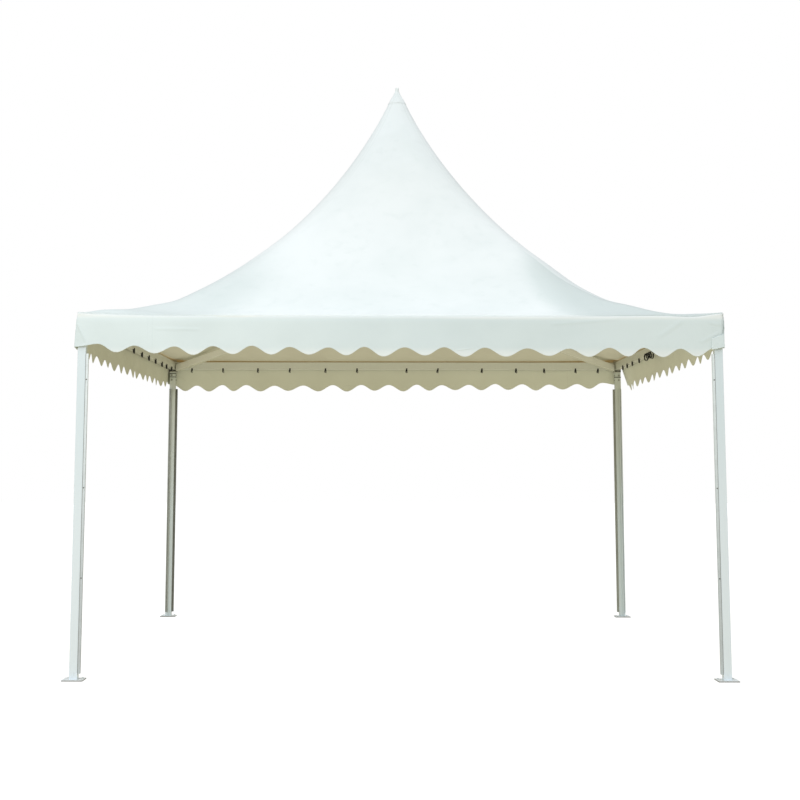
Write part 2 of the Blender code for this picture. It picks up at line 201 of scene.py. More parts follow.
# Bolts and pins: half widths of the heads, and heights on the post and its bracket
ANCHOR_HEAD = 0.0075
BRACKET_HEAD = 0.0070
BLOCK_HEAD = 0.0065
WASHER = 0.0016
BRACKET_BOLT_HEIGHTS = (2.621, 2.570)
BLOCK_BOLT_HEIGHT = 2.670
BLOCK_DEPTH = 0.008
PIN_RADIUS = 0.0050
PIN_HEIGHTS = (2.27, 1.44, 0.76)

# Camera and lights: the lens in millimetres, the turns in degrees and the key's power in watts
LENS = 66.239
CAMERA_SHIFT = (0.025, -0.150)
CAMERA_PLACE = (-0.1266, -13.8856, 1.570)
PITCH, YAW, ROLL = 7.392, -0.149, 0.058
KEY_PLACE = (-3.6, -12.8, 6.5)
KEY_AIM = (0.0, 0.0, 3.0)
KEY_SIZE = 5.0
KEY_POWER = 430.0
FLOOR_SIZE = 60.0
FLOOR_GLOW = 0.86
BOUNCE_GLOW = 0.70

# Colours of the outer cloth, which other finishes share
WHITE = (0.87, 0.925, 0.935)
PEAK_WHITE = (0.875, 0.945, 0.975)
DEEP_SHADE = (0.60, 0.685, 0.68)


class Wire:
    """One shader socket. Sums on it add Math nodes, and node() adds any other kind."""

    def __init__(self, tree, socket=None):
        self.tree = tree
        self.socket = socket

    def node(self, kind, settings=None, sockets=None, output=0):
        made = self.tree.nodes.new("ShaderNode" + kind)
        for name, value in (settings or {}).items():
            setattr(made, name, value)
        for name, value in (sockets or {}).items():
            if isinstance(value, Wire):
                self.tree.links.new(value.socket, made.inputs[name])
            else:
                made.inputs[name].default_value = value
        return Wire(self.tree, made.outputs[output])

    def sum(self, operation, *terms):
        return self.node("Math", {"operation": operation}, dict(enumerate(terms)))

    def __add__(self, other):
        return self.sum("ADD", self, other)

    def __radd__(self, other):
        return self.sum("ADD", other, self)

    def __sub__(self, other):
        return self.sum("SUBTRACT", self, other)

    def __rsub__(self, other):
        return self.sum("SUBTRACT", other, self)

    def __mul__(self, other):
        return self.sum("MULTIPLY", self, other)

    def __rmul__(self, other):
        return self.sum("MULTIPLY", other, self)

    def __abs__(self):
        return self.sum("ABSOLUTE", self)

    def rise(self, low, high):
        """0 below low, 1 above high, smooth between."""
        return self.node(
            "MapRange",
            {"interpolation_type": "SMOOTHSTEP"},
            {"Value": self, "From Min": low, "From Max": high, "To Min": 0.0, "To Max": 1.0},
        )

    def blend(self, colour_a, colour_b):
        """Colour a where this value is 0 and colour b where it is 1."""
        pair = [value if isinstance(value, Wire) else (*value, 1.0) for value in (colour_a, colour_b)]
        return self.node("Mix", {"data_type": "RGBA"}, {0: self, 6: pair[0], 7: pair[1]}, output=2)

    def split(self):
        return [self.node("SeparateXYZ", {}, {0: self}, output=axis) for axis in range(3)]


def new_finish(name, roughness, metallic=0.0, **fixed):
    """A Principled material; returns it, its Principled node and a wire for building."""
    material = bpy.data.materials.new(name)
    material.use_nodes = True
    tree = material.node_tree
    shader = tree.nodes["Principled BSDF"]
    shader.inputs["Roughness"].default_value = roughness
    shader.inputs["Metallic"].default_value = metallic
    for socket, value in fixed.items():
        shader.inputs[socket.replace("_", " ")].default_value = value
    return material, shader, Wire(tree)


def feed(wire, shader, **links):
    """Links wires to the shader's sockets, named with _ for a space."""
    for socket, source in links.items():
        wire.tree.links.new(source.socket, shader.inputs[socket.replace("_", " ")])


def object_place(wire):
    return wire.node("TexCoord", output=3)


def cloud(wire, place, scale, detail=3.0, rough=0.55):
    return wire.node("TexNoise", {}, {"Vector": place, "Scale": scale, "Detail": detail, "Roughness": rough})


def stretched(wire, place, stretch):
    return wire.node("Mapping", {}, {"Vector": place, "Scale": stretch})


def relief(wire, height, strength, distance=0.001):
    return wire.node("Bump", {}, {"Height": height, "Strength": strength, "Distance": distance})


def scrim(wire, cloth_metres):
    """Height of the woven scrim under the coating, from 0 to 1, on a map in metres."""
    across, down, _ = cloth_metres.split()
    turn = 2.0 * math.pi / THREAD
    return 0.5 + 0.25 * (wire.sum("SINE", across * turn) + wire.sum("SINE", down * turn))


def crease(run, height, start, end, width):
    """1 along a soft straight fold between two points of a strip's run and height, 0 beside it."""
    length = math.dist(start, end)
    ux, uz = (end[0] - start[0]) / length, (end[1] - start[1]) / length
    along = (run - start[0]) * ux + (height - start[1]) * uz
    across = abs((height - start[1]) * ux - (run - start[0]) * uz)
    inside = along.rise(-width, width) * (1.0 - along.rise(length - width, length + width))
    return (1.0 - across.rise(0.0, width)) * inside


def painted_hip_shade(metres):
    """Painted shade beside the hip rafters, firmer at each side's right, and a deeper painted shade where it
    is strongest.
    """
    run, slope, _ = metres.split()
    edge = HIP_SHADE_TOP + (HIP_SHADE_EAVE - HIP_SHADE_TOP) * slope.rise(*HIP_SHADE_SLOPES)
    firm = (run - edge).rise(-0.09, 0.17)
    broad = (-1.0 * run - edge).rise(-0.26, 0.30)
    deep = (run - edge).rise(0.0, 0.34) + 0.42 * (-1.0 * run - edge).rise(-0.05, 0.36)
    return 0.85 * firm + 0.50 * broad, deep


def coated_cloth(name, colour, shade, roughness):
    """White coated polyester from outside: scrim, faint clouding, laps along the hips, painted shade beside
    them, darker at the eave, paler at the peak.
    """
    material, shader, wire = new_finish(name, roughness, Coat_Weight=0.06, Coat_Roughness=0.35)
    place = object_place(wire)
    metres = wire.node("UVMap", {"uv_map": "cloth_metres"})
    x, y, z = place.split()
    hip = abs(abs(x) - abs(y)) * SIN_45
    lap = 1.0 - hip.rise(LAP, LAP_CLEAR)
    lap_edge = (1.0 - abs(hip - LAP_LINE).rise(0.0, 0.004)) * z.rise(*LAP_FOOT)
    clouds = cloud(wire, place, 1.3).rise(0.38, 0.72)
    handling = cloud(wire, place, 9.0, 5.0).rise(0.50, 0.80)
    # Painted shade beside the hip rafters, full on the front side and weaker on the others
    lean, deep = painted_hip_shade(metres)
    front = OTHER_SIDES_SHARE + (1.0 - OTHER_SIDES_SHARE) * (-1.0 * y - abs(x)).rise(-0.03, 0.03)
    # Random clouding, handling marks, the laps' welded line, and darker towards the eave
    darkening = 0.30 * clouds + 0.22 * handling + 0.5 * lap_edge + 0.16 * (1.0 - z.rise(*EAVE_DARKER))
    tone = wire.sum("MINIMUM", darkening + front * lean, 1.0)
    # Paler towards the peak
    paler_peak = z.rise(*PEAK_PALER).blend(colour, PEAK_WHITE)
    colour = (front * deep).blend(tone.blend(paler_peak, shade), DEEP_SHADE)
    wrinkle = cloud(wire, place, 3.2, 4.0, 0.6)
    height = 0.10 * scrim(wire, metres) + 1.2 * lap * z.rise(*LAP_FOOT) + 3.0 * wrinkle
    feed(
        wire,
        shader,
        Base_Color=colour,
        Normal=relief(wire, height, 0.55),
        Roughness=roughness - 0.05 + 0.12 * handling,
    )
    return material


def lining_cloth(name, colour, shade):
    """The same cloth from inside, khaki as a painted warm shade: laps show darker, and a painted glow of warm
    daylight lights it along the eaves.
    """
    material, shader, wire = new_finish(name, 0.62, Emission_Strength=1.0)
    place = object_place(wire)
    metres = wire.node("UVMap", {"uv_map": "cloth_metres"})
    x, y, z = place.split()
    hip = abs(abs(x) - abs(y)) * SIN_45
    lap = (1.0 - hip.rise(LAP, LAP_CLEAR)) * z.rise(*LAP_FOOT)
    clouds = cloud(wire, place, 2.1).rise(0.35, 0.75)
    tone = 0.55 * clouds + 0.4 * lap
    # Painted glow of warm daylight along the eaves
    eaves = wire.sum("MAXIMUM", abs(x), abs(y)).rise(*EAVE_GLOW)
    height = 0.12 * scrim(wire, metres) + 2.0 * cloud(wire, place, 3.2)
    feed(
        wire,
        shader,
        Base_Color=tone.blend(colour, shade),
        Emission_Color=eaves.blend((0.0, 0.0, 0.0), (0.085, 0.047, 0.012)),
        Normal=relief(wire, height, 0.5),
    )
    return material


def strip_cloth(name, colour, shade, roughness, top, lobes=0.0):
    """Valance cloth: welded hem, lap seam, soft folds with painted shade, soiling, darker along the middle, a
    top edge in another colour (a painted highlight on the outside's fold), and painted light on the lobes.
    """
    material, shader, wire = new_finish(name, roughness, Coat_Weight=0.05, Coat_Roughness=0.4)
    place = object_place(wire)
    metres = wire.node("UVMap", {"uv_map": "cloth_metres"})
    run, above_hem, _ = metres.split()
    hem = 1.0 - above_hem.rise(*HEM_WELD)
    seam = 1.0 - abs(run - SEAM_RUN).rise(0.019, 0.0215)
    seam_line = 1.0 - abs(run - SEAM_LINE_RUN).rise(0.001, 0.004)
    clouds = cloud(wire, place, 2.4).rise(0.35, 0.75)
    level = place.split()[2]
    # Top edge along the fold, in the top colour; outside it is a painted highlight
    folded = (level + 0.012 * run.rise(0.0, 0.8)).rise(*STRIP_EDGE)
    creases = 0.0
    for start, end, width, depth in STRIP_CREASES:
        creases = creases + depth * crease(run, level, start, end, width)
    soiled = (1.0 - above_hem.rise(0.0, 0.09)) * cloud(wire, place, 14.0, 5.0).rise(0.42, 0.78)
    # Darker along the middle of the side's run
    darker_middle = run.rise(-1.4, -0.2) * (1.0 - run.rise(0.8, 2.2))
    # Random clouding, soiling, the seam's line, painted shade along the folds, and the darker middle
    tone = 0.35 * clouds + 0.15 * soiled + 0.40 * seam_line + 0.18 * creases + 0.42 * darker_middle
    wrinkle = cloud(wire, place, 4.5, 4.0, 0.6)
    height = 0.10 * scrim(wire, metres) + 0.8 * hem + 1.0 * seam + 2.2 * wrinkle + 4.0 * creases
    # Painted light on the lobes of the hem
    if lobes:
        folded = wire.sum("MAXIMUM", folded, lobes * (1.0 - level.rise(*STRIP_LOBES)))
    tinted = folded.blend(tone.blend(colour, shade), top)
    feed(wire, shader, Base_Color=tinted, Normal=relief(wire, height, 0.55))
    return material


def painted_tube(name, colour, shade, upper=None, below=None):
    """Satin white finish on the tubes: draw lines, scuffs near the ground, a painted warm shade at the upper
    end and a painted shade on the underside, where given.
    """
    material, shader, wire = new_finish(name, 0.36, Coat_Weight=0.15, Coat_Roughness=0.25)
    place = object_place(wire)
    z = place.split()[2]
    lines = cloud(wire, stretched(wire, place, (220.0, 220.0, 0.6)), 1.0, 2.0)
    scuffs = cloud(wire, stretched(wire, place, (1.0, 1.0, 0.35)), 38.0, 5.0, 0.65).rise(0.56, 0.74)
    low = 1.0 - z.rise(*TUBE_SCUFFED)
    tone = 0.25 * lines + 0.45 * scuffs * (0.25 + low)
    # Upper end in the colour of the warm shade under the cover, painted
    paint = z.rise(*TUBE_UPPER).blend(colour, upper or colour)
    # Painted shade on faces that look down
    if below:
        facing_up = wire.node("NewGeometry", output=1).split()[2]
        paint = (-1.0 * facing_up).rise(0.40, 0.70).blend(paint, below)
    feed(
        wire,
        shader,
        Base_Color=tone.blend(paint, shade),
        Roughness=0.30 + 0.14 * lines + 0.15 * scuffs,
        Normal=relief(wire, lines, 0.10, 0.0004),
    )
    return material


def plate_rim(wire):
    """1 on the sides of a base plate, which are painted dark as shade, and 0 on its top."""
    return 1.0 - object_place(wire).split()[2].rise(*PLATE_RIM)


def track_seat(wire):
    """1 on the narrow joint where a wall track meets its post, where a shadow line is painted."""
    x, y, _ = object_place(wire).split()
    return wire.sum("MINIMUM", abs(x), abs(y)).rise(*TRACK_SEAT)


def bare_metal(name, colour, shade, roughness, scale, metallic, painted_shade_mask=None, foot=1.0):
    """Zinc-coated or bare metal: spangle, dull patches, fine scratches, painted shade where a mask is given,
    and a greyer foot.
    """
    material, shader, wire = new_finish(name, roughness, metallic)
    place = object_place(wire)
    spangle = wire.node("TexVoronoi", {}, {"Vector": place, "Scale": scale}, output=1)
    patch = cloud(wire, place, 12.0, 4.0).rise(0.40, 0.70)
    fleck = spangle.split()[0]
    tone = 0.45 * fleck + 0.45 * patch
    base = tone.blend(colour, shade)
    if foot < 1.0:
        # Darker towards the foot
        foot_colours = [tuple(foot * part for part in finish) for finish in (colour, shade)]
        base = place.split()[2].rise(*METAL_UPPER).blend(tone.blend(*foot_colours), base)
    if painted_shade_mask:
        # Painted shade where the mask is 1
        base = (0.85 * painted_shade_mask(wire)).blend(base, (0.10, 0.10, 0.095))
    feed(
        wire,
        shader,
        Base_Color=base,
        Roughness=roughness - 0.06 + 0.10 * fleck + 0.12 * patch,
        Normal=relief(wire, cloud(wire, place, 240.0), 0.12, 0.0004),
    )
    return material


def woven_webbing(name):
    """Black polyester webbing with a fine rib both ways."""
    material, shader, wire = new_finish(name, 0.75)
    place = object_place(wire)
    x, y, z = place.split()
    rib = wire.sum("SINE", (x + y) * 2100.0) * wire.sum("SINE", z * 1500.0)
    colour = (0.5 + 0.5 * rib).blend((0.012, 0.012, 0.013), (0.035, 0.035, 0.036))
    feed(wire, shader, Base_Color=colour, Normal=relief(wire, rib, 0.5, 0.0003))
    return material


ROOF_OUT = coated_cloth("roof_cloth_outside", WHITE, (0.71, 0.79, 0.79), 0.42)
# The lining's khaki colour paints the warm shade under the cover
ROOF_IN = lining_cloth("roof_cloth_inside", (0.66, 0.66, 0.56), (0.58, 0.575, 0.48))
# The strips' outside is a darker copy of the cloth's white, which paints the shade of their upright faces
STRIP_OUT = strip_cloth("valance_cloth_outside", (0.745, 0.85, 0.88), (0.67, 0.775, 0.81), 0.46, WHITE, 0.75)
# The strips' insides are a khaki that paints the warm shade under the cover
STRIP_IN = strip_cloth(
    "valance_cloth_inside", (0.81, 0.838, 0.745), (0.73, 0.745, 0.65), 0.6, (0.75, 0.765, 0.665),
)
# A darker copy for the left strip's inside, which paints its deeper shade
SHADED_LEFT_IN = strip_cloth(
    "valance_cloth_left_inside_shaded", (0.68, 0.70, 0.60), (0.61, 0.62, 0.52), 0.6, (0.65, 0.66, 0.56),
)
CAP_CLOTH = coated_cloth("cap_cloth", PEAK_WHITE, (0.79, 0.86, 0.87), 0.40)
TUBE = painted_tube("satin_tube", (0.835, 0.93, 1.0), (0.63, 0.69, 0.72), (0.765, 0.88, 0.95))
# A darker copy of the tube finish that paints the shade on the back posts and a track
SHADED_TUBE = painted_tube("shaded_tube", (0.77, 0.88, 0.94), (0.55, 0.61, 0.63), (0.71, 0.76, 0.73))
# The khaki of the beams and king pole, and the side beams' darker copy, paint the warm shade under the cover
BEAM_TUBE = painted_tube("beam_tube", (0.76, 0.79, 0.75), (0.56, 0.57, 0.53))
SIDE_BEAM_TUBE = painted_tube("side_beam_tube", (0.63, 0.65, 0.58), (0.48, 0.49, 0.44))
# A lighter copy of the tube finish that paints the light on the rafters, with painted shade on their
# undersides
RAFTER_TUBE = painted_tube("rafter_tube", (0.96, 0.97, 0.94), (0.74, 0.74, 0.70), below=(0.56, 0.58, 0.47))
TRACK = bare_metal("track_metal", (0.86, 0.95, 1.00), (0.70, 0.77, 0.81), 0.42, 200.0, 0.0, track_seat, 0.68)
# Darker copies of the track metal that paint the shade on the tracks at the back posts
SHADED_TRACK = bare_metal("shaded_track", (0.44, 0.475, 0.46), (0.36, 0.38, 0.36), 0.50, 200.0, 0.15)
DARK_TRACK = bare_metal("dark_track", (0.20, 0.205, 0.19), (0.14, 0.145, 0.13), 0.55, 200.0, 0.20)
GREY_TRACK = bare_metal("grey_track", (0.42, 0.435, 0.40), (0.32, 0.33, 0.30), 0.55, 200.0, 0.15)
PLATE = bare_metal("plate_zinc", (0.85, 0.88, 0.89), (0.72, 0.75, 0.76), 0.50, 60.0, 0.05, plate_rim)
STEEL = bare_metal("bracket_zinc", (0.64, 0.64, 0.57), (0.46, 0.46, 0.40), 0.50, 70.0, 0.35)
BOLT = bare_metal("bolt_zinc", (0.46, 0.46, 0.42), (0.26, 0.26, 0.24), 0.42, 300.0, 0.6)
PIN = bare_metal("dark_pin", (0.13, 0.125, 0.115), (0.07, 0.068, 0.062), 0.45, 300.0, 0.4)
WEBBING = woven_webbing("black_webbing")

# Finishes of the frame's pieces by the start of their names, some of them copies that paint shade and light:
# the first that fits is taken
FRAME_FINISHES = (
    ("post_back_", SHADED_TUBE),
    ("post_", TUBE),
    (("eave_beam_left", "eave_beam_right"), SIDE_BEAM_TUBE),
    (("eave_beam_", "king_pole"), BEAM_TUBE),
    ("hip_rafter_", RAFTER_TUBE),
    ("right_track_right", SHADED_TUBE),
    ("left_track_left", SHADED_TRACK),
    ("back_track_left", GREY_TRACK),
    ("back_track_right", DARK_TRACK),
    (("front_track_", "right_track_", "left_track_"), TRACK),
    ("base_plate_", PLATE),
    (("corner_bracket_", "crown_hub"), STEEL),
)


def quarter_turn(count):
    return Matrix.Rotation(math.radians(90.0) * count, 4, "Z")


def piece(name, bm, materials, smooth=True):
    """Makes the mesh an object in the scene, and frees it."""
    mesh = bpy.data.meshes.new(name)
    bm.to_mesh(mesh)
    bm.free()
    for material in materials:
        mesh.materials.append(material)
    mesh.polygons.foreach_set("use_smooth", [smooth] * len(mesh.polygons))
    obj = bpy.data.objects.new(name, mesh)
    bpy.context.scene.collection.objects.link(obj)
    return obj


def thicken(obj, thickness, offset=-1.0, inside=1):
    """Gives a sheet its thickness, with the inside's material a slot further on."""
    solid = obj.modifiers.new("cloth_thickness", "SOLIDIFY")
    solid.thickness = thickness
    solid.offset = offset
    solid.use_even_offset = True
    solid.material_offset = inside
    solid.material_offset_rim = 0


def smooth_step(low, high, value):
    """0 below low, 1 above high, smooth between."""
    share = min(max((value - low) / (high - low), 0.0), 1.0)
    return share * share * (3.0 - 2.0 * share)


def swell(value, centre, width, power=2):
    """1 at the centre, fading to 0 on both sides of it."""
    return math.exp(-(((value - centre) / width) ** power))


def face_outwards(bm, middle, out):
    """Turns a sheet's faces so that its middle face looks out."""
    bmesh.ops.recalc_face_normals(bm, faces=bm.faces[:])
    bm.normal_update()
    if min(bm.faces, key=middle).normal.dot(out) < 0.0:
        bmesh.ops.reverse_faces(bm, faces=bm.faces[:])


def curve_run(ring):
    """How far a course lies inside the curve's reach, eased to 0 past it."""
    run = CURVE_REACH - ring
    return (run + math.hypot(run, CURVE_SOFTNESS)) / 2.0


def roof_height(ring):
    """Height of a level course from its half width."""
    rise = CURVE_SCALE * (curve_run(ring) ** CURVE_POWER - curve_run(RING_EAVE) ** CURVE_POWER)
    return CORNER_HEIGHT + rise * (1.0 + PEAK_LIFT * math.exp(-ring / PEAK_LIFT_LENGTH))


def course_share(ring, angle):
    """Radius over half width of a level course: round at the peak, square at the eave."""
    bluntness = 0.5 * max(0.0, 1.0 - ring / RING_EAVE) ** 1.5
    if bluntness < 0.001:
        return 1.0 / math.cos(angle)
    rounding = (1.0 + abs(math.tan(angle)) ** (1.0 / bluntness)) ** bluntness
    return 1.0 / (math.cos(angle) * rounding)


def eave_sag(run):
    """Sag of the eave at a run along its side, with a little slack near the right end."""
    across = abs(run) / RING_EAVE
    slack = END_SLACK * swell(run, END_SLACK_RUN, END_SLACK_WIDTH) * (1.0 - across**14)
    return EAVE_SAG * (1.0 - across**6) + slack


def roof_courses():
    """Half width, height and share of the eave's sag of every course, from the peak to the skirt's hem."""
    courses = []
    for index in range(ROOF_COURSES + 1):
        ring = RING_TOP + (RING_EAVE - RING_TOP) * (index / ROOF_COURSES) ** 1.25
        courses.append((ring, roof_height(ring), (ring / RING_EAVE) ** 12))
    for index in range(1, FOLD_COURSES + 1):
        turn = math.radians(90.0) * index / FOLD_COURSES
        drop = FOLD_RADIUS * (1.0 - math.cos(turn))
        courses.append((RING_EAVE + FOLD_RADIUS * math.sin(turn), CORNER_HEIGHT - drop, 1.0))
    top = CORNER_HEIGHT - FOLD_RADIUS
    for index in range(1, SKIRT_COURSES + 1):
        share = index / SKIRT_COURSES
        courses.append((RING_EAVE + FOLD_RADIUS, top + (SKIRT_HEM - top) * share, 1.0 - share))
    return courses


def roof_relief(place):
    """How far the stretched cloth stands off its even curve: slack, gathers, creases, and uneven hips."""
    x, y, z = place
    ring = max(abs(x), abs(y))
    radius = math.hypot(x, y)
    turn = math.atan2(y, x)
    free = smooth_step(0.10, 0.60, ring) * (1.0 - smooth_step(2.30, 2.46, ring))
    slack = noise.noise(Vector((x * 0.9, y * 0.9, z * 0.7))) * ROOF_SLACK * free
    gathers = PEAK_GATHERS * math.cos(20.0 * turn) * math.exp(-radius / 0.22)
    gathers *= smooth_step(0.10, 0.17, radius)
    corner = math.hypot(abs(x) - RING_EAVE, abs(y) - RING_EAVE)
    pull = swell(corner, 0.30, 0.26) * smooth_step(0.05, 0.15, corner) * (1.0 - smooth_step(2.36, 2.47, ring))
    fan = math.atan2(RING_EAVE - abs(y), RING_EAVE - abs(x))
    fan += 0.05 * noise.noise(Vector((x * 3.0, y * 3.0, 0.0)))
    creases = CORNER_CREASES * pull * math.cos(11.0 * fan)
    collar = PEAK_COLLAR * swell(radius, 0.0, 0.14, 4)
    aside = abs(abs(x) - abs(y)) * SIN_45
    hips = 0.0
    if x < 0.0 > y:
        inside = 1.0 - smooth_step(2.36, 2.49, ring)
        hips += FRONT_LEFT_LIFT * swell(corner, 0.46, 0.42, 4) * swell(aside, 0.0, 0.42) * inside
        hips += FRONT_LEFT_FULLNESS * swell(corner, 1.60, 0.62, 4) * swell(aside, 0.0, 0.85)
    if x > 0.0 > y:
        hips -= FRONT_RIGHT_HOLLOW * swell(corner, 1.36, 0.40, 4) * swell(aside, 0.0, 0.34)
    return slack + gathers + creases + collar + hips


def roof_canopy():
    """One stretched sheet: four gores welded along the hips, folded over the eaves into a skirt."""
    courses = roof_courses()
    last = len(courses) - 1
    bm = bmesh.new()
    metres = bm.loops.layers.uv.new("cloth_metres")
    for turns in SIDES.values():
        grid = bmesh.ops.create_grid(bm, x_segments=ROOF_COLUMNS, y_segments=last, size=1.0)
        cloth = {}
        for vertex in grid["verts"]:
            row = round((1.0 - vertex.co.y) / 2.0 * last)
            across = vertex.co.x
            angle = math.radians(45.0) * (1.5 * across - 0.5 * across**3)
            ring, height, sag_share = courses[row]
            radius = ring * course_share(ring, angle)
            sag = eave_sag(RING_EAVE * math.tan(angle)) * sag_share
            place = Vector((radius * math.sin(angle), -radius * math.cos(angle), height - sag))
            slope = sum(math.dist(courses[i][:2], courses[i + 1][:2]) for i in range(row))
            cloth[vertex] = (place.x, slope)
            vertex.co = quarter_turn(turns) @ place
        for face in {face for vertex in grid["verts"] for face in vertex.link_faces}:
            for loop in face.loops:
                loop[metres].uv = cloth[loop.vert]
    bmesh.ops.remove_doubles(bm, verts=bm.verts[:], dist=0.0001)
    face_outwards(bm, lambda face: -face.calc_center_median().z, Vector((0.0, 0.0, 1.0)))
    moves = [(vertex, vertex.normal * roof_relief(vertex.co)) for vertex in bm.verts]
    for vertex, move in moves:
        vertex.co += move
    canopy = piece("roof_canopy", bm, [ROOF_OUT, ROOF_IN])
    thicken(canopy, CLOTH)
    return canopy


def hem_height(run, shift):
    """Height of the scalloped hem at a run along the strip; the cut ends run out straight."""
    marks = [(mark + shift, height) for mark, height in HEM_MARKS]
    first, last = marks[0], marks[-1]
    if run <= first[0]:
        return first[1] + (CORNER_HEM - first[1]) * smooth_step(0.0, END_BLEND, first[0] - run)
    if run >= last[0]:
        return last[1]
    before, after = next(pair for pair in zip(marks, marks[1:]) if run <= pair[1][0])
    share = (run - before[0]) / (after[0] - before[0])
    return before[1] + (after[1] - before[1]) * (1.0 - math.cos(math.pi * share)) / 2.0


def strip_runs(wrapped):
    """Columns of a strip, from the end of its wrap round the left corner, if it has one, to its right end."""
    corner = WRAP_FACE - CORNER_ROUND
    arc = CORNER_ROUND * math.pi / 2.0
    runs = []
    if wrapped:
        runs += [-corner - arc - WRAP_LENGTH * (1.0 - index / WRAP_COLUMNS) for index in range(WRAP_COLUMNS)]
        runs += [-corner - arc * (1.0 - index / ARC_COLUMNS) for index in range(ARC_COLUMNS)]
    runs += [-corner + CORNER_STRETCH * index / CORNER_COLUMNS for index in range(CORNER_COLUMNS + 1)]
    start = runs[-1]
    runs += [start + (STRIP_RIGHT - start) * index / STRIP_COLUMNS for index in range(1, STRIP_COLUMNS + 1)]
    return runs


def strip_stand_off(run, height, side_seed):
    """How far a strip's face stands out from flat: ripples that grow towards the hem."""
    low = 1.0 - smooth_step(2.50, 2.76, height)
    wave = math.sin(run * 9.2 + side_seed) + 0.7 * math.sin(run * 5.3 + 2.0 * side_seed)
    swing = FRONT_RIPPLE if side_seed == 0.0 else RIPPLE
    ripple = swing * wave + 0.004 * noise.noise(Vector((run * 2.2, height * 3.0, side_seed)))
    curl = CURL * noise.noise(Vector((run * 3.7, 7.0, side_seed)))
    curl *= 1.0 - smooth_step(USUAL_DIP, USUAL_CREST + 0.03, height)
    return max(-0.0010, (ripple + 0.002) * low + curl)


def strip_place(run, height, side_seed):
    """Point of the front strip's outer face; past the left corner it turns onto the neighbouring side."""
    corner = WRAP_FACE - CORNER_ROUND
    arc = CORNER_ROUND * math.pi / 2.0
    past = -corner - run
    belly = BELLY * (1.0 - smooth_step(*BELLY_HEIGHTS, height))
    crumple = CRUMPLE * noise.noise(Vector((3.0 * side_seed, height * 26.0, 1.0)))
    crumple *= smooth_step(2.60, 2.66, height)
    flare = belly + max(crumple, -belly)
    if side_seed != LOOSE_SEED:
        flare += FLARE * (1.0 - smooth_step(*FLARE_HEIGHTS, height))
    tuck = min(max((TUCK_TOP - height) / TUCK_DEPTH, 0.0), 1.0)
    if past <= 0.0:
        near_left = 1.0 - smooth_step(0.0, END_BLEND, -past)
        near_right = 1.0 - smooth_step(0.0, END_BLEND, STRIP_RIGHT - run)
        off = strip_stand_off(run, height, side_seed) * (1.0 - near_left) * (1.0 - near_right)
        turned = max(0.0, TUCK_WIDTH * tuck + past)
        out = STRIP_FACE + off + belly + (flare - belly) * near_left - 0.20 * turned
        aside = flare * (1.0 - smooth_step(0.0, CORNER_EASE, -past))
        aside -= belly * (1.0 - smooth_step(0.0, CORNER_EASE, STRIP_RIGHT - run))
        if side_seed == SIDE_SEED:
            loose = min(max((SKIRT_HEM - height) / LOOSE_DEPTH, 0.0), 1.0)
            out += LOOSE_END * smooth_step(LOOSE_FROM, STRIP_RIGHT, run) * loose
        return Vector((run - aside, -out, height))
    if past < arc:
        angle = past / CORNER_ROUND
        x = -corner - CORNER_ROUND * math.sin(angle) - flare
        y = CORNER_ROUND * (1.0 - math.cos(angle)) - STRIP_FACE - flare + TUCK * tuck
        return Vector((x, y, height))
    beyond = past - arc
    fade = 1.0 - smooth_step(0.0, WRAP_FADE, beyond)
    y = CORNER_ROUND - STRIP_FACE + beyond + (TUCK * tuck - flare) * fade
    return Vector((-WRAP_FACE - belly - (flare - belly) * (0.35 + 0.65 * fade), y, height))


def strip_span(run, shift):
    """Lowest and highest height of a strip's column."""
    corner = WRAP_FACE - CORNER_ROUND
    arc = CORNER_ROUND * math.pi / 2.0
    past = -corner - run
    sag = eave_sag(min(max(run, -RING_EAVE), RING_EAVE))
    if past <= 0.0:
        return hem_height(run, shift), STRIP_TOP - sag
    if past < arc:
        return CORNER_HEM, STRIP_TOP + (WRAP_TOP - STRIP_TOP) * past / arc
    beyond = past - arc
    share = beyond / WRAP_LENGTH
    return CORNER_HEM - WRAP_HEM_DROP * share, WRAP_TOP - WRAP_TOP_DROP * share


def valance_strip(side, turns):
    """One side's strip, cut in scallops below and wrapped round the left corner onto its neighbour."""
    shift = BACK_SHIFT if side == "back" else 0.0
    runs = strip_runs(side != "back")
    last = len(runs) - 1
    bm = bmesh.new()
    metres = bm.loops.layers.uv.new("cloth_metres")
    grid = bmesh.ops.create_grid(bm, x_segments=last, y_segments=STRIP_COURSES, size=1.0)
    cloth = {}
    for vertex in grid["verts"]:
        run = runs[round((vertex.co.x + 1.0) / 2.0 * last)]
        low, high = strip_span(run, shift)
        height = low + (high - low) * ((vertex.co.y + 1.0) / 2.0) ** 1.3
        cloth[vertex] = (run, height - low)
        vertex.co = strip_place(run, height, SIDE_SEED * turns)
    for face in bm.faces:
        for loop in face.loops:
            loop[metres].uv = cloth[loop.vert]
    face_outwards(bm, lambda face: face.calc_center_median().xy.length, Vector((0.0, -1.0, 0.0)))
    bm.transform(quarter_turn(turns))
    strip = piece(f"valance_strip_{side}", bm, [STRIP_OUT, SHADED_LEFT_IN if side == "left" else STRIP_IN])
    thicken(strip, CLOTH)
    return strip


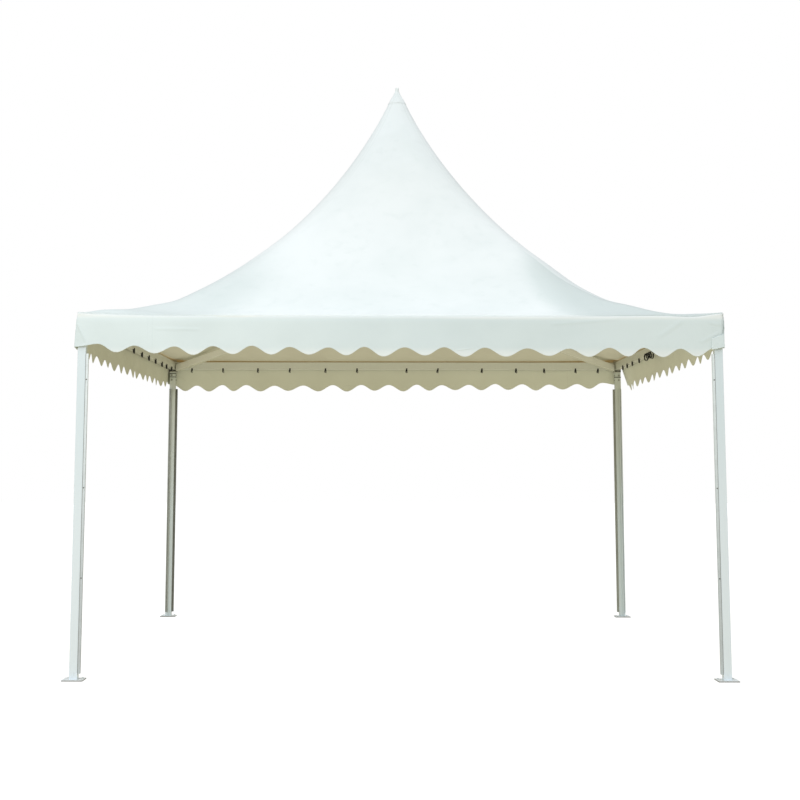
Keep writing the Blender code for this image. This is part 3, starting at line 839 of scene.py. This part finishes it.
def peak_sleeve():
    """Cloth cap over the roof's top ring: pinched top, welded collar and a turned hem."""
    outline = [
        (0.0001, 5.2445), (0.012, 5.2442), (0.0168, 5.2410), (0.0182, 5.2350), (0.0182, 5.2140),
        (0.0196, 5.2085), (0.0205, 5.2040), (0.0235, 5.1960), (0.0285, 5.1870), (0.0360, 5.1710),
        (0.0440, 5.1555), (0.0530, 5.1405), (0.0622, 5.1270), (0.0690, 5.1150), (0.0738, 5.1060),
        (0.0800, 5.0940), (0.0858, 5.0820), (0.0884, 5.0768),
    ]
    bm = bmesh.new()
    ring = [bm.verts.new((radius, 0.0, height)) for radius, height in outline]
    edges = [bm.edges.new(pair) for pair in zip(ring, ring[1:])]
    bmesh.ops.spin(
        bm, geom=ring + edges, cent=(0.0, 0.0, 0.0), axis=(0.0, 0.0, 1.0),
        angle=2.0 * math.pi, steps=64, use_merge=True, use_duplicate=False,
    )
    bmesh.ops.remove_doubles(bm, verts=bm.verts[:], dist=0.0003)
    for vertex in bm.verts:
        turn = math.atan2(vertex.co.y, vertex.co.x)
        radius = vertex.co.xy.length
        spread = smooth_step(0.020, 0.045, radius) * (1.0 - smooth_step(0.055, 0.074, radius))
        pleat = 0.0014 * spread * math.cos(12.0 * turn)
        vertex.co.xy *= 1.0 + pleat / max(radius, 0.01)
    face_outwards(bm, lambda face: -face.calc_center_median().z, Vector((0.0, 0.0, 1.0)))
    metres = bm.loops.layers.uv.new("cloth_metres")
    for face in bm.faces:
        for loop in face.loops:
            spot = loop.vert.co
            loop[metres].uv = (math.atan2(spot.y, spot.x) * 0.05, spot.z)
    cap = piece("peak_sleeve", bm, [CAP_CLOTH, ROOF_IN])
    thicken(cap, CAP_THICKNESS)
    return cap


def webbing(bm, route, width):
    """A band of webbing: each stop of the route gives its middle, and the turn of its width about Z."""
    grid = bmesh.ops.create_grid(bm, x_segments=2, y_segments=len(route) - 1, size=1.0)
    for vertex in grid["verts"]:
        middle, turn = route[round((vertex.co.y + 1.0) / 2.0 * (len(route) - 1))]
        across = Vector((math.cos(turn), math.sin(turn), 0.0)) * (width / 2.0 * vertex.co.x)
        vertex.co = Vector(middle) + across
    return grid["verts"]


def webbing_loop(bm, middle, reach, deep, lean, turn, width):
    """Closed loop of webbing that hangs below its middle."""
    route = []
    for stop in range(LOOP_STOPS + 1):
        angle = 2.0 * math.pi * stop / LOOP_STOPS
        aside = reach * math.sin(angle)
        spot = Vector((aside * math.cos(turn), aside * math.sin(turn), -deep * (1.0 - math.cos(angle)) / 2.0))
        spot.x += lean * spot.z
        route.append((Vector(middle) + spot, turn + math.radians(90.0)))
    band = webbing(bm, route, width)
    bmesh.ops.remove_doubles(bm, verts=band, dist=0.0001)


def turn_under(bm, run, width):
    """Short turn of webbing under the beam's inner edge and up its inner face."""
    low = BEAM_LOW - WEBBING_GAP
    inner = -BEAM_INNER
    face = inner + WEBBING_GAP
    stops = ((inner - 0.020, low), (inner - 0.004, low), (face, low + 0.004), (face, low + 0.016))
    webbing(bm, [((run, y, z), 0.0) for y, z in stops], width)


def beam_tie(bm, run, side_seed):
    """Webbing tie at the beam's lower inner edge: a turn under the beam and two loops that hang from it."""
    lean = 0.35 * noise.noise(Vector((run * 5.0, side_seed, 0.0)))
    cross, broad = (0.28, 0.016) if side_seed == LEFT_TIES else (0.13, 0.012)
    turn_under(bm, run, 0.015)
    knot = (run, WEBBING_THICKNESS - BEAM_INNER, BEAM_LOW + 0.010)
    webbing_loop(bm, knot, 0.006, 0.048, lean + cross, math.radians(15.0), broad)
    webbing_loop(bm, knot, 0.006, 0.042, lean - cross, math.radians(35.0), broad)


def beam_straps(side, turns):
    """All the ties on one side's beam."""
    bm = bmesh.new()
    for run in STRAP_RUNS[side]:
        beam_tie(bm, run, 1.0 + turns)
    if side == "right":
        spare_bundle(bm)
    bm.transform(quarter_turn(turns))
    straps = piece(f"beam_straps_{side}", bm, [WEBBING])
    thicken(straps, WEBBING_THICKNESS, 0.0, 0)
    return straps


def spare_bundle(bm):
    """Spare webbing gathered in loops over one place on the right beam."""
    for loop in range(BUNDLE_LOOPS):
        run = BUNDLE_RUN - 0.16 + 0.10 * loop
        turn_under(bm, run, 0.018)
        deep = 0.064 + 0.010 * math.cos(1.9 * loop)
        lean = 0.20 * math.sin(2.1 * loop)
        knot = (run, 0.010 - BEAM_INNER, BEAM_LOW + 0.022)
        webbing_loop(bm, knot, 0.019, deep, lean, math.radians(55.0), 0.026)


def corner_lashing(corner, turns):
    """Flat webbing round the bracket's block just under the beams, and once or twice round the post below."""
    bm = bmesh.new()
    bands = [BLOCK_BAND, LOWER_BAND]
    if corner != "back_right":
        bands.append(MIDDLE_BAND)
    for level, half_width, stand_off in bands:
        near = BEAM_INNER - stand_off
        far = FRAME_OUT + FAR_STAND_OFF
        route = [(near, near), (far, near), (far, far), (near, far), (near, near)]
        stops = []
        for start, end in zip(route, route[1:]):
            stops += [Vector((*start, level)).lerp(Vector((*end, level)), share) for share in (0.0, 0.5)]
        stops.append(stops[0])
        grid = bmesh.ops.create_grid(bm, x_segments=1, y_segments=len(stops) - 1, size=1.0)
        for vertex in grid["verts"]:
            spot = stops[round((vertex.co.y + 1.0) / 2.0 * (len(stops) - 1))]
            vertex.co = spot + Vector((0.0, 0.0, half_width * vertex.co.x))
        bmesh.ops.remove_doubles(bm, verts=grid["verts"], dist=0.0001)
    bm.transform(quarter_turn(turns))
    lashing = piece(f"corner_lashing_{corner}", bm, [WEBBING], smooth=False)
    thicken(lashing, WEBBING_THICKNESS, 0.0, 0)
    return lashing


def facing(spot, out):
    """Turns a shape made along Z to stand out from a face at a spot."""
    return Matrix.Translation(Vector(spot)) @ Vector(out).to_track_quat("Z", "Y").to_matrix().to_4x4()


def hex_bolt(bm, spot, out, size):
    """Hexagon head with its washer, standing out from a face; size is half its width."""
    base = facing(spot, out)
    disc = bmesh.ops.create_cone(
        bm, cap_ends=True, segments=20, radius1=size * 1.45, radius2=size * 1.45, depth=WASHER,
        matrix=base @ Matrix.Translation((0.0, 0.0, WASHER / 2.0)),
    )
    head = bmesh.ops.create_cone(
        bm, cap_ends=True, segments=6, radius1=size, radius2=size, depth=size * 0.75,
        matrix=base @ Matrix.Translation((0.0, 0.0, WASHER + size * 0.375)),
    )
    edges = {edge for vertex in disc["verts"] + head["verts"] for edge in vertex.link_edges}
    rims = [edge for edge in edges if edge.calc_face_angle(0.0) > 0.5]
    bmesh.ops.bevel(
        bm, geom=rims, offset=size * 0.06, offset_type="OFFSET", segments=1, profile=0.5,
        affect="EDGES", material=-1,
    )


def anchor_bolts(corner, turns):
    """Bolts in the four holes of one base plate."""
    bm = bmesh.new()
    for sx in (-1, 1):
        for sy in (-1, 1):
            spot = (POST_CENTRE + sx * PLATE_HOLE, POST_CENTRE + sy * PLATE_HOLE, PLATE_TOP)
            hex_bolt(bm, spot, (0, 0, 1), ANCHOR_HEAD)
    bm.transform(quarter_turn(turns))
    return piece(f"anchor_bolts_{corner}", bm, [PLATE], smooth=False)


def bracket_bolts(corner, turns):
    """Bolts through the bracket's block and through the post into its leg."""
    bm = bmesh.new()
    beside = POST_CENTRE + 0.010
    for height in BRACKET_BOLT_HEIGHTS:
        hex_bolt(bm, (beside, BEAM_INNER, height), (0, -1, 0), BRACKET_HEAD)
        hex_bolt(bm, (BEAM_INNER, beside, height), (-1, 0, 0), BRACKET_HEAD)
    block = BEAM_INNER - BLOCK_DEPTH
    hex_bolt(bm, (POST_CENTRE, block, BLOCK_BOLT_HEIGHT), (0, -1, 0), BLOCK_HEAD)
    hex_bolt(bm, (block, POST_CENTRE, BLOCK_BOLT_HEIGHT), (-1, 0, 0), BLOCK_HEAD)
    bm.transform(quarter_turn(turns))
    return piece(f"bracket_bolts_{corner}", bm, [BOLT], smooth=False)


def post_pins(corner, turns):
    """Small dome rivets that hold each wall track to its post."""
    bm = bmesh.new()
    middle = BEAM_INNER - 0.010
    for height in PIN_HEIGHTS:
        for spot, out in (((middle, FRAME_OUT, height), (0, 1, 0)), ((FRAME_OUT, middle, height), (1, 0, 0))):
            dome = bmesh.ops.create_uvsphere(bm, u_segments=14, v_segments=8, radius=PIN_RADIUS)
            bmesh.ops.scale(bm, verts=dome["verts"], vec=(1.0, 1.0, 0.45))
            bmesh.ops.transform(bm, matrix=facing(spot, out), verts=dome["verts"])
    bm.transform(quarter_turn(turns))
    return piece(f"post_pins_{corner}", bm, [PIN])


def dress_frame():
    """Better finishes on the CAD pieces that stay in view."""
    for name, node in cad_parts.items():
        finish = next((look for start, look in FRAME_FINISHES if name.startswith(start)), None)
        if finish:
            node.material_slots[0].material = finish


def dress_cloth():
    """The cover, its four strips and its cap, in place of the soft CAD pieces."""
    canopy = roof_canopy()
    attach(canopy, "root")
    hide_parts(*(f"roof_panel_{side}" for side in SIDES))
    for side, turns in SIDES.items():
        strip = valance_strip(side, turns)
        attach(strip, "root")
        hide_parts(f"valance_{side}")
    cap = peak_sleeve()
    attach(cap, "root")
    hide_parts("peak_cap")


def dress_fittings():
    """Webbing, bolts and pins on the frame."""
    for side, turns in SIDES.items():
        straps = beam_straps(side, turns)
        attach(straps, "root")
    for corner, turns in CORNERS.items():
        lashing = corner_lashing(corner, turns)
        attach(lashing, "root")
        for fitting in (anchor_bolts(corner, turns), bracket_bolts(corner, turns), post_pins(corner, turns)):
            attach(fitting, "root")


def studio():
    """Pale floor, a sky that is brightest above, white behind, and a soft key from the upper front left."""
    bm = bmesh.new()
    bmesh.ops.create_grid(bm, x_segments=1, y_segments=1, size=FLOOR_SIZE)
    floor = bpy.data.materials.new("pale_floor")
    floor.use_nodes = True
    tree = floor.node_tree
    shader = tree.nodes["Principled BSDF"]
    shader.inputs["Base Color"].default_value = (0.30, 0.30, 0.30, 1.0)
    shader.inputs["Roughness"].default_value = 0.9
    shader.inputs["Specular IOR Level"].default_value = 0.0
    shader.inputs["Emission Color"].default_value = (1.0, 1.0, 1.0, 1.0)
    shader.inputs["Emission Strength"].default_value = FLOOR_GLOW
    wire = Wire(tree)
    bounce = wire.node("Emission", {}, {"Color": (1.0, 0.93, 0.71, 1.0), "Strength": BOUNCE_GLOW})
    pale = Wire(tree, shader.outputs[0])
    floor_look = wire.node("MixShader", {}, {0: wire.node("LightPath"), 1: bounce, 2: pale})
    tree.links.new(floor_look.socket, tree.nodes["Material Output"].inputs["Surface"])
    ground = piece("studio_floor", bm, [floor], smooth=False)

    world = bpy.data.worlds.new("studio_sky")
    bpy.context.scene.world = world
    world.use_nodes = True
    tree = world.node_tree
    wire = Wire(tree)
    across, _, up = wire.node("TexCoord").split()
    flanks = abs(across).rise(0.45, 0.95) * (1.0 - up.rise(0.12, 0.50))
    level = 0.12 + 1.03 * up.rise(0.05, 0.75) + 0.25 * flanks
    sky = wire.node("Background", {}, {"Color": (0.97, 0.99, 1.0, 1.0), "Strength": level})
    backdrop = wire.node("Background", {}, {"Color": (1.0, 1.0, 1.0, 1.0), "Strength": 1.0})
    seen = wire.node("MixShader", {}, {0: wire.node("LightPath"), 1: sky, 2: backdrop})
    tree.links.new(seen.socket, tree.nodes["World Output"].inputs["Surface"])

    key = bpy.data.lights.new("soft_key", "AREA")
    key.shape = "DISK"
    key.size = KEY_SIZE
    key.energy = KEY_POWER
    key.color = (1.0, 1.0, 1.0)
    lamp = bpy.data.objects.new("soft_key", key)
    lamp.location = KEY_PLACE
    aim = Vector(KEY_AIM) - lamp.location
    lamp.rotation_euler = aim.to_track_quat("-Z", "Y").to_euler()
    bpy.context.scene.collection.objects.link(lamp)


def camera():
    """The photograph's viewing place, low in front and a little to the left."""
    data = bpy.data.cameras.new("photo_camera")
    data.lens = LENS
    data.sensor_width = 36.0
    data.shift_x, data.shift_y = CAMERA_SHIFT
    data.clip_end = 200.0
    obj = bpy.data.objects.new("photo_camera", data)
    pitch, yaw = math.radians(PITCH), math.radians(YAW)
    forward = Vector((math.sin(yaw) * math.cos(pitch), math.cos(yaw) * math.cos(pitch), math.sin(pitch)))
    turn = forward.to_track_quat("-Z", "Y").to_matrix().to_4x4()
    roll = Matrix.Rotation(math.radians(ROLL), 4, "Z")
    obj.matrix_world = Matrix.Translation(CAMERA_PLACE) @ turn @ roll
    bpy.context.scene.collection.objects.link(obj)
    bpy.context.scene.camera = obj


camera()
studio()
dress_frame()
dress_cloth()
dress_fittings()
bpy.context.scene.view_settings.view_transform = "Standard"
bpy.context.view_layer.update()
